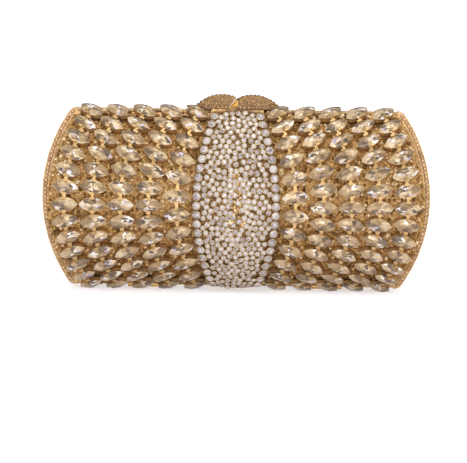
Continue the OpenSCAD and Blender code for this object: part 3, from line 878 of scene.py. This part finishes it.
def fillSpots(v, field):
    chance = np.random.RandomState(panel["seed"])
    wide, top, fill = v["halfWidth"], panel["top"], []
    for x, up in chance.uniform((-wide, v["low"]), (wide, v["high"]), (v["tries"], 2)):
        near = min(hypot(x - a, up - b * top) for a, b in field)
        apart = min((hypot(x - a, up - b * top) for a, b in fill), default=wide)
        if (near > panel["fieldStone"] / 2 + v["room"] and apart > v["apart"]
                and abs(x) < wide - (up - v["middle"]) ** 2 / v["roundness"]):
            fill.append((x, up / top))
    return fill


# Vertices, each with the turn of the stone that stands on it
def turnedPoints(name, places):
    mesh = makeMesh(name, [spot for spot, turn in places])
    store = mesh.attributes.new("turn", "QUATERNION", "POINT")
    store.data.foreach_set("value", [c for spot, turn in places for c in turn.to_quaternion()])
    return mesh


def panelPoints(name, face, spots):   # on the panel's ball
    places = []
    for x, angle in spots:
        turn = (Matrix.Rotation(pi / 2 - angle, 3, "X")
                @ Matrix.Rotation(asin(x / panel["top"]), 3, "Y"))
        if face > 0:
            turn = Matrix.Rotation(pi, 3, "Z") @ turn
        centre = Vector((0, -face * archCentre, caseMiddle))
        places.append((centre + turn @ Vector((0, 0, panel["top"])), turn))
    return turnedPoints(name, places)


def settingTree():
    sheet, source = startTree("setStones", {"spread": 0.0, "twist": 3.0})
    twist = sheet.random("FLOAT", 0.0, source["twist"], source["seed"] + 2)
    turn = sheet.turned(sheet.storedTurn(), sheet.vector(0.0, 0.0, twist))
    size = sheet.random("FLOAT", 1 - source["spread"], 1.0, source["seed"] + 1)
    return endTree(sheet, source, source["Geometry"], turn, 3, size)


setTree = settingTree()


def setStones(name, stones, finish, seed, points, spread=0.0, twist=3.0):
    return grow(name, setTree, {"stones": stones, "spread": spread, "twist": twist,
                                "seed": seed, "material": finishes[finish]}, points)


fieldCuts = roundStones("field", panel["fieldStone"], girdle=(0.94, 0.5),
                        shoulder=(0.76, 0.84), high=1.0, foot=0.05,
                        tops=[(0.5, 2), (0.42, 5), (0.56, 8)])
borderCuts = roundStones("border", panel["borderStone"], girdle=(0.96, 1.0),
                         shoulder=(0.78, 1.42), high=1.72, foot=0.84,
                         tops=[(0.54, 9), (0.46, 4), (0.5, 12)])
fieldCups = ringCup("fieldCup", panel["fieldStone"], over=0.14, wall=0.28, height=0.72)
borderCups = ringCup("borderCup", panel["borderStone"], over=0.14, wall=0.3, height=1.28,
                     around=16)
borderStep = panel["borderPitch"] / panel["top"]
borderCount = int((radians(panel["span"]) - borderStep * 0.4) / borderStep)
border = [(side * borderPlace(i * borderStep), i * borderStep)
          for side in (-1, 1) for i in range(-borderCount, borderCount + 1)]
field = fieldSpots(panel, border)
fill = fillSpots(fillGrains, field)
panelLayers = {   # what is set, its finish, spread and spots, its slot and what it stands for
    "PanelStones": (fieldCuts, "clearCrystal", 0.1, field, "clear_crystal", ["_knot_stones"]),
    "BorderStones": (borderCuts, "clearCrystal", 0.03, border, "clear_crystal",
                     ["_knot_border_stones"]),
    "PanelCups": (fieldCups, "cupGold", 0.05, field, "polished_gold", []),
    "BorderRims": (borderCups, "cupGold", 0.02, border, "polished_gold", ["_knot_settings"]),
    "PanelGrains": (granuleBeads, "granuleGold", 0.3, fill, "polished_gold", []),
}
for half, face in faces.items():
    for name, (stones, finish, spread, spots, slot, nodes) in panelLayers.items():
        dress(setStones(half + name, stones, finish, 40 + face,
                        panelPoints(name, face, spots), spread),
              half, slot, *[half + node for node in nodes])
print("panel stones", len(field), "grains", len(fill))


# Small stones and beads along the bowed ends

band = {"start": 84.43, "stone": 2.05, "pitch": 2.2, "bead": 0.34, "beadPlace": 1.0,
        "pieces": 64}


def pathTree():
    sheet, source = startTree("alongPath", {"count": 40, "turn": "Vector"})
    curve = sheet.make("GeometryNodeMeshToCurve", {"Mesh": source["Geometry"]})
    spaced = sheet.make("GeometryNodeResampleCurve",
                        {"Curve": curve, "Count": source["count"]})
    spin = sheet.random("FLOAT", 0.0, 3.0, source["seed"] + 1)
    turn = sheet.turned(sheet.turn(source["turn"]), sheet.vector(0.0, 0.0, spin))
    return endTree(sheet, source, spaced, turn, 3)


def endArcs(name, face, radius, reach, depth):   # an arc along each bowed end
    n = band["pieces"]
    points, edges = [], []
    for side in (-1, 1):
        edges += [(len(points) + i, len(points) + i + 1) for i in range(n)]
        for i in range(n + 1):
            x, z = circle(radius, reach * (2 * i / n - 1))[:2]
            points.append((side * (case["endCentre"] + x), face * depth, caseMiddle + z))
    return makeMesh(name, points, edges=edges)


alongPath = pathTree()
bandCuts = roundStones("band", band["stone"], girdle=(1, 0.5), shoulder=(0.8, 0.78),
                       high=0.95, foot=0.02, tops=[(0.52, 6)], table=-0.3)
bandBeads = beads("bandBead", band["bead"])
bandRadius = case["endRadius"] - case["rimWidth"] - case["bandWidth"] / 2
bandStep = band["pitch"] / bandRadius
bandCount = int(acos((band["start"] + band["stone"] / 2 - case["endCentre"])
                     / bandRadius) / bandStep)
stoneDepth = case["frameDepth"] - case["bandDepth"] + 0.02
beadDepth = case["frameDepth"] - 0.05
bandLayers = {   # what is set, how many more or fewer than two a side, where, and its finish
    "BandStones": (bandCuts, 1, 0, stoneDepth, 8, "bandCrystal", "champagne_pave",
                   ["_frame_stones"]),
    "InnerDots": (bandBeads, 0, -band["beadPlace"], beadDepth, 9, "paleGold",
                  "polished_gold", []),
    "OuterDots": (bandBeads, 0, band["beadPlace"], beadDepth, 9, "paleGold",
                  "polished_gold", []),
}
for half, face in faces.items():
    for name, (stones, more, shift, depth, seed, finish, slot, nodes) in bandLayers.items():
        count = 2 * bandCount + more
        arcs = endArcs(name + "Arc", face, bandRadius + shift, (count - 1) / 2 * bandStep,
                       depth)
        dress(grow(half + name, alongPath, {
            "count": count, "turn": (-face * pi / 2, 0.0, 0.0), "stones": stones,
            "seed": seed, "material": finishes[finish]}, arcs),
            half, slot, *[half + node for node in nodes])


# Small stones over the clasp's petals, both faces and the rounded edge

petals = {"reach": 23.0, "crest": 8.0, "height": 7.4, "depth": 4.6, "dome": 60.0,
          "shift": 0.5, "foot": 0.3, "stone": 1.8, "pitch": 2.1, "margin": 0.9,
          "tilt": 38.0, "partingFoot": -5.0, "gap": 0.4, "bevel": 2.2, "bead": 0.34,
          "edgePitch": 2.2, "edgeFoot": 1.2}
petalBase = caseMiddle + case["halfHeight"] + petals["foot"]
petalRadius = (((petals["reach"] - petals["crest"]) ** 2 + petals["height"] ** 2)
               / (2 * petals["height"]))
lean = radians(petals["tilt"])


def pastParting(x, up):   # how far a point lies to the right of the line between the petals
    return (x - petals["partingFoot"]) * cos(lean) - up * sin(lean) - petals["gap"] / 2


def petalPlaces(v, side, keep, dots):   # over both faces, or in the gaps there for the dots
    places = []
    step = v["pitch"] * sin(pi / 3)
    count = ceil(v["reach"] / v["pitch"])
    offsets = [(0.5, tan(pi / 6) / 2), (0, tan(pi / 6))] if dots else [(0, 0)]
    room = v["margin"] * (0.6 if dots else 1)
    spots = [((i + (j % 2) / 2 + alongX) * v["pitch"],
              v["margin"] + j * step + alongZ * v["pitch"])
             for j in range(-1, int(v["height"] / step) + 1)
             for i in range(-count, count + 1) for alongX, alongZ in offsets]
    for way, clear in ((1, keep), (-1, room)):   # the near face, then the far one
        centre = Vector((side * v["crest"], -side * v["shift"]
                         + way * (v["dome"] - v["depth"] / 2), petalBase))
        for x, up in spots:
            far = hypot(x, up + petalRadius - v["height"])
            if (far < petalRadius - room and up > room * 0.99
                    and side * pastParting(side * v["crest"] + x, up) > clear):
                turn = (Matrix.Rotation((pi if way < 0 else 0) + way * asin(x / v["dome"]),
                                        3, "Z")
                        @ Matrix.Rotation(pi / 2 - asin(up / v["dome"]), 3, "X"))
                places.append((centre + turn @ Vector((0, 0, v["dome"])), turn))
    return places


def petalEdge(v, side):   # places along a petal's rounded edge
    places = []
    turn = 0.5 * v["edgePitch"] / petalRadius
    while petalRadius * cos(turn) > petalRadius - v["height"] + v["edgeFoot"]:
        for way in (-1, 1):
            x = petalRadius * sin(turn) * way
            up = petalRadius * cos(turn) - petalRadius + v["height"]
            if side * pastParting(side * v["crest"] + x, up) > v["margin"]:
                places.append((Vector((side * v["crest"] + x, -side * v["shift"],
                                       petalBase + up)), Matrix.Rotation(turn * way, 3, "Y")))
        turn += v["edgePitch"] / petalRadius
    return places


petalCuts = roundStones("petal", petals["stone"], girdle=(1, 0.16), shoulder=(0.78, 0.42),
                        high=0.52, foot=0.01, tops=[(0.5, 21), (0.4, 22), (0.56, 23)],
                        table=-0.3)
petalBeads = beads("petalBead", petals["bead"])
petalCups = ringCup("petalCup", petals["stone"], over=0.1, wall=0.16, height=0.36)
for half, face in faces.items():
    keep = petals["margin"] + (petals["bevel"] if half == "rear" else 0)
    places = petalPlaces(petals, face, keep, False)
    dress(setStones(half + "PetalStones", petalCuts, "paveCrystal", 60 + face, turnedPoints(
        "petal", places + petalEdge(petals, face)), 0.06), half, "champagne_pave",
        ("near" if half == "rear" else "far") + "_petal_stones")
    dress(setStones(half + "PetalRims", petalCups, "rimGold", 60 + face,
                    turnedPoints("petal", places), 0.05), half, "polished_gold")
    dress(setStones(half + "PetalDots", petalBeads, "paleGold", 62 + face, turnedPoints(
        "petal", petalPlaces(petals, face, keep - 0.5, True)), 0.2), half, "polished_gold")


# Smooth pieces of metal and leather

def smoothPiece(name, points, loops, finish, wall=0.0):
    mesh = makeMesh(name, points, loops)
    shape = bmesh.new()
    shape.from_mesh(mesh)
    bmesh.ops.remove_doubles(shape, verts=shape.verts, dist=0.02 * mm)
    bmesh.ops.recalc_face_normals(shape, faces=shape.faces)
    shape.to_mesh(mesh)
    shape.free()
    mesh.shade_smooth()
    mesh.materials.append(finishes[finish])
    piece = putInScene(name, mesh)
    if wall:
        sheetWall = piece.modifiers.new("Wall", "SOLIDIFY")
        sheetWall.thickness = wall * mm
        sheetWall.offset = 0.0
        soften = piece.modifiers.new("Soften", "SUBSURF")
        soften.levels = soften.render_levels = 1
    return piece


def tube(name, path, radius, finish, closed=False):   # a round strand along a path of points
    around, count = 8, len(path)
    points = []
    for i, spot in enumerate(path):
        before = path[i - 1] if closed or i else spot
        after = path[(i + 1) % count] if closed or i + 1 < count else spot
        turn = (after - before).to_track_quat("Z", "Y")
        points += [spot + turn @ Vector(circle(radius, 2 * pi * k / around))
                   for k in range(around)]
    loops = quads(count, around, True, closed)
    if not closed:
        loops += endFaces(count, around)
    return smoothPiece(name, points, loops, finish)


# A crescent moulding along the near petal's parting edge, between two wires

crescent = {"start": -0.25, "wide": 2.7, "proud": 0.16, "sunk": 0.5, "wire": 0.24,
            "from": 0.35, "length": 6.7, "steps": 24}


def crescentPoint(along, past, lift):   # a place beside the line between the petals
    past += petals["gap"] / 2
    x = petals["partingFoot"] + past * cos(lean) + along * sin(lean)
    up = along * cos(lean) - past * sin(lean)
    far = hypot(x - petals["crest"], up)
    front = petals["depth"] / 2 - petals["dome"] + sqrt(petals["dome"] ** 2 - far ** 2)
    return Vector((x, -petals["shift"] - front - lift, petalBase + up))


def crescentLines(v):   # for each step along it: how far along, and where it ends
    lines = []
    for i in range(v["steps"] + 1):
        share = i / v["steps"]
        along = v["from"] + (v["length"] - v["from"]) * share
        wide = v["wide"] * sin(pi * (0.04 + 0.92 * share)) ** 0.7
        lines.append((along, min(wide, (along * cos(lean) - 0.2) / sin(lean))))
    return lines


def crescentSkin(v, lines):
    points = []
    start = v["start"]
    for along, end in lines:
        profile = [(start, -2 * v["sunk"]), (start, 0.1)]
        profile += [(start + (end - start) * share, v["proud"] * sin(pi * share) + 0.1)
                    for share in (0.15, 0.35, 0.5, 0.65, 0.85)]
        profile += [(end, 0.0), (end, -v["sunk"])]
        points += [crescentPoint(along, past, lift) for past, lift in profile]
    n = len(profile)
    loops = quads(len(lines), n, True) + endFaces(len(lines), n)
    return smoothPiece("ClaspCrescent", points, loops, "amberGold")


crescentPath = crescentLines(crescent)
wire, wireStart = crescent["wire"], crescent["start"] + crescent["wire"]
for piece in (
        crescentSkin(crescent, crescentPath),
        tube("InnerWire", [crescentPoint(along, wireStart, 0.16)
                           for along, end in crescentPath], wire, "paleGold"),
        tube("OuterWire", [crescentPoint(along, end, 0.05)
                           for along, end in crescentPath], wire, "paleGold")):
    dress(piece, "rear", "polished_gold")


# Leather linings with piping and stitches, and a slip pocket on the rear one

lining = {"gap": 1.2, "wall": 0.7, "rimInset": 5.0, "start": {"front": 0.5, "rear": 2.0},
          "depth": 26.84, "lean": 1.2, "rows": 22, "across": 16, "rimSteps": (20, 12),
          "piping": 0.55, "pipingInset": 0.5, "pipingDrop": 0.1,
          "stitch": 0.34, "stitchPitch": 2.6, "stitchDrop": 1.3, "stitchInset": 0.42,
          "corner": [(0, 0), (0.25, 0.02), (0.5, 0.12), (0.72, 0.5), (0.88, 1.3),
                     (0.97, 2.6), (1.0, 4.2)]}
pocket = {"width": 76.0, "low": -34.0, "high": 12.0, "inset": 2.06, "wall": 0.45,
          "bulge": 0.7, "piping": 0.42, "steps": 28, "seam": 0.482, "seamFoot": 0.02,
          "seamLift": 0.3, "seamSteps": 40, "sideSteps": 30, "hemSeam": (0.49, 0.94)}


def rimReach(z, depth):   # half the lining's length at a height and a depth
    lean = lining["lean"] * depth / lining["depth"]
    radius = case["endRadius"] - lining["rimInset"] - lean
    return case["endCentre"] + sqrt(radius ** 2 - z ** 2)


def liningSkin(v, half):
    face, start = faces[half], v["start"][half]
    high = case["halfHeight"] - v["rimInset"]
    arch = case["archRadius"] - v["gap"] - v["wall"] / 2
    levels = ([(-high, True)] + [(high * sin(pi / 2 * (2 * j / v["rows"] - 1)), False)
                                 for j in range(v["rows"] + 1)] + [(high, True)])
    points = []
    for z, rim in levels:
        deep = start if rim else sqrt(arch ** 2 - z ** 2) - archCentre
        line = []
        for share, inset in v["corner"]:
            depth = start + (deep - start) * share
            line.append((rimReach(z, depth) - inset * deep / v["depth"], depth))
        edge = line[-1][0]
        line += [(edge * (1 - i / v["across"]), deep) for i in range(1, v["across"] + 1)]
        line += [(-x, depth) for x, depth in line[-2::-1]]
        points += [(x, face * depth, caseMiddle + z) for x, depth in line]
    return smoothPiece(half + "LeatherLining", points, quads(len(levels), len(line)),
                       "liningLeather", v["wall"])


def rimPath(v, half, inset, drop):   # a closed line round the lining's mouth
    high = case["halfHeight"] - v["rimInset"] - inset
    depth = faces[half] * (v["start"][half] + drop)
    down, over = v["rimSteps"]
    side = []
    for j in range(2 * down + 1):
        z = high * sin(pi / 2 * (j / down - 1))
        side.append((rimReach(z, 0) - inset, z))
    top = side[-1][0]
    half = side + [(top * (1 - i / over), high) for i in range(1, 2 * over)]
    return [Vector((way * x, depth, caseMiddle + way * z)) for way in (1, -1) for x, z in half]


# Stitch places at even steps along a line, each along it and standing off the leather
def stitchPlaces(path, pitch, outward, closed=False):
    places, left = [], pitch / 2
    for a, b in zip(path, path[1:] + path[:closed]):
        length = (b - a).length
        while left < length:
            spot = a.lerp(b, left / length)
            along = (b - a).normalized()
            up = outward(spot)
            up = (up - along * up.dot(along)).normalized()
            places.append((spot, Matrix((along, up.cross(along), up)).transposed()))
            left += pitch
        left -= length
    return places


def toMiddle(spot):   # off the rim's leather
    return Vector((-spot.x, 0, (caseMiddle - spot.z) * 3))


def toAxis(spot):   # off the pocket
    return Vector((0, -archCentre - spot.y, caseMiddle - spot.z))


def pocketPoint(across, rise, lift):   # on the pocket's face, by shares of width and height
    swell = pocket["bulge"] * max(0, 1 - (2 * across) ** 2) * rise ** 2
    radius = case["archRadius"] - pocket["inset"] - pocket["wall"] / 2 - swell - lift
    angle = radians(pocket["low"] + (pocket["high"] - pocket["low"]) * rise)
    return Vector((pocket["width"] * across, radius * cos(angle) - archCentre,
                   caseMiddle + radius * sin(angle)))


def pocketSkin(v):
    n = v["steps"]
    points = [pocketPoint(i / n - 0.5, j / n, 0) for j in range(n + 1) for i in range(n + 1)]
    return smoothPiece("SlipPocket", points, quads(n + 1, n + 1), "liningLeather", v["wall"])


# A line on the pocket's face, between two places
def pocketLine(first, last, steps=pocket["seamSteps"], lift=pocket["seamLift"]):
    first, last = Vector(first), Vector(last)
    return [pocketPoint(*first.lerp(last, i / steps), lift) for i in range(steps + 1)]


def sew(name, places, seed):
    return setStones(name, stitches, "thread", seed, turnedPoints("stitch", places), 0.0, 0.0)


stitches = beads("stitch", lining["stitch"], flat=0.6, stretch=2.6)
for half, face in faces.items():
    leatherSkin = liningSkin(lining, half)
    piping = tube(half + "Piping", rimPath(
        lining, half, lining["pipingInset"], lining["pipingDrop"]), lining["piping"],
        "liningLeather", True)
    mouth = rimPath(lining, half, lining["stitchInset"], lining["stitchDrop"])
    seam = sew(half + "RimStitches", stitchPlaces(
        mouth, lining["stitchPitch"], toMiddle, True), 70 + face)
    dress(leatherSkin, half, "lining_leather", half + "_lining")
    dress(piping, half, "lining_leather")
    dress(seam, half, "lining_leather")
slipPocket = pocketSkin(pocket)
hem = tube("PocketHem", pocketLine((-0.5, 1), (0.5, 1), lift=0), pocket["piping"],
           "liningLeather")
end, foot, steps = pocket["seam"], pocket["seamFoot"], pocket["sideSteps"]
pocketOutline = (pocketLine((-end, 1), (-end, 0), steps)
                 + pocketLine((-end, foot), (end, foot))[1:]
                 + pocketLine((end, 0), (end, 1), steps)[1:])
end, high = pocket["hemSeam"]
pocketSeam = sew("PocketStitches", [
    place for path in (pocketOutline, pocketLine((-end, high), (end, high)))
    for place in stitchPlaces(path, lining["stitchPitch"], toAxis)], 75)
dress(slipPocket, "rear", "lining_leather", "rear_pocket")
dress(hem, "rear", "lining_leather")
dress(pocketSeam, "rear", "lining_leather")
print("lining sewn")


# Stage

room = {"floor": 6.0, "worldLight": 0.9, "nearGlow": 0.55, "farGlow": 1.0,
        "nearReach": 0.16, "farReach": 0.7, "lampAim": 0.05}


def seenDirectly(sheet):   # 1 for the camera's rays and those that mirror or pass through
    path = sheet.make("ShaderNodeLightPath")
    return sheet.calc("MAXIMUM", path["Is Camera Ray"], sheet.calc(
        "MAXIMUM", path["Is Glossy Ray"], path["Is Transmission Ray"]))


def makeFloor(v):
    h = v["floor"] / 2 / mm
    mesh = makeMesh("floor", [(-h, -h, 0), (h, -h, 0), (h, h, 0), (-h, h, 0)], [(0, 1, 2, 3)])
    sheet, place = startMaterial("paleFloor")
    far = sheet.make("ShaderNodeVectorMath", {0: place}, "Value", operation="LENGTH")
    spread = sheet.remap(far, v["nearReach"], v["farReach"], v["nearGlow"], v["farGlow"])
    body = sheet.make("ShaderNodeBsdfDiffuse", {
        "Color": sheet.mixed(sheet.noise(place, 3.0), (230, 228, 236), (234, 232, 240))})
    glow = sheet.make("ShaderNodeEmission", {
        "Color": (1, 1, 1, 1), "Strength": seenDirectly(sheet) * spread})
    both = sheet.make("ShaderNodeAddShader", {0: body, 1: glow})
    sheet.make("ShaderNodeOutputMaterial", {"Surface": both})
    mesh.materials.append(finishes["paleFloor"])
    putInScene("floor", mesh)


def makeWorld(v):
    world = bpy.context.scene.world = bpy.data.worlds.new("studio")
    world.use_nodes = True
    world.node_tree.nodes.clear()
    sheet = Sheet(world.node_tree)
    strength = seenDirectly(sheet) * (1 - v["worldLight"]) + v["worldLight"]
    back = sheet.make("ShaderNodeBackground", {"Color": (1, 1, 1, 1), "Strength": strength})
    sheet.make("ShaderNodeOutputWorld", {"Surface": back})


lamps = {
    "keyLamp": {"place": (-0.35, -0.75, 0.95), "size": 0.5, "power": 1.0},
    "sideLamp": {"place": (0.8, -0.6, 0.5), "size": 0.35, "power": 0.8},
    "lowLamp": {"place": (0.0, -1.0, 0.12), "size": 0.6, "power": 2.4},
    "topLamp": {"place": (0.1, -0.3, 1.2), "size": 0.6, "power": 2.8},
}


def makeLamp(name, v):
    data = bpy.data.lights.new(name, "AREA")
    data.size = v["size"]
    data.energy = v["power"]
    lamp = putInScene(name, data)
    lamp.location = v["place"]
    aim = Vector((0, 0, room["lampAim"])) - Vector(v["place"])
    lamp.rotation_euler = aim.to_track_quat("-Z", "Y").to_euler()


makeFloor(room)
makeWorld(room)
for name, values in lamps.items():
    makeLamp(name, values)
bpy.context.scene.view_settings.view_transform = "Standard"

# Finishes of the solids that stay, by the last words of their names
solidFinishes = {
    "frame": "frameGold", "shell": "workedGold", "settings": "settingGold",
    "knot_panel": "openGold", "knot_settings": "paleGold", "knuckles": "polishedGold",
    "pin": "pinSteel", "lug": "polishedGold", "foot": "polishedGold",
    "petal": "petalGold", "lining": "liningLeather", "pocket": "liningLeather",
    "marquises": "champagneCrystal", "border_stones": "clearCrystal",
    "knot_stones": "clearCrystal", "frame_stones": "bandCrystal",
    "petal_stones": "paveCrystal",
}
for name, solid in frame["nodes"].items():
    ending = max((end for end in solidFinishes if name.endswith(end)), key=len)
    for slot in solid.material_slots:
        slot.material = finishes[solidFinishes[ending]]

for piece in patterns:
    bpy.data.objects.remove(piece)
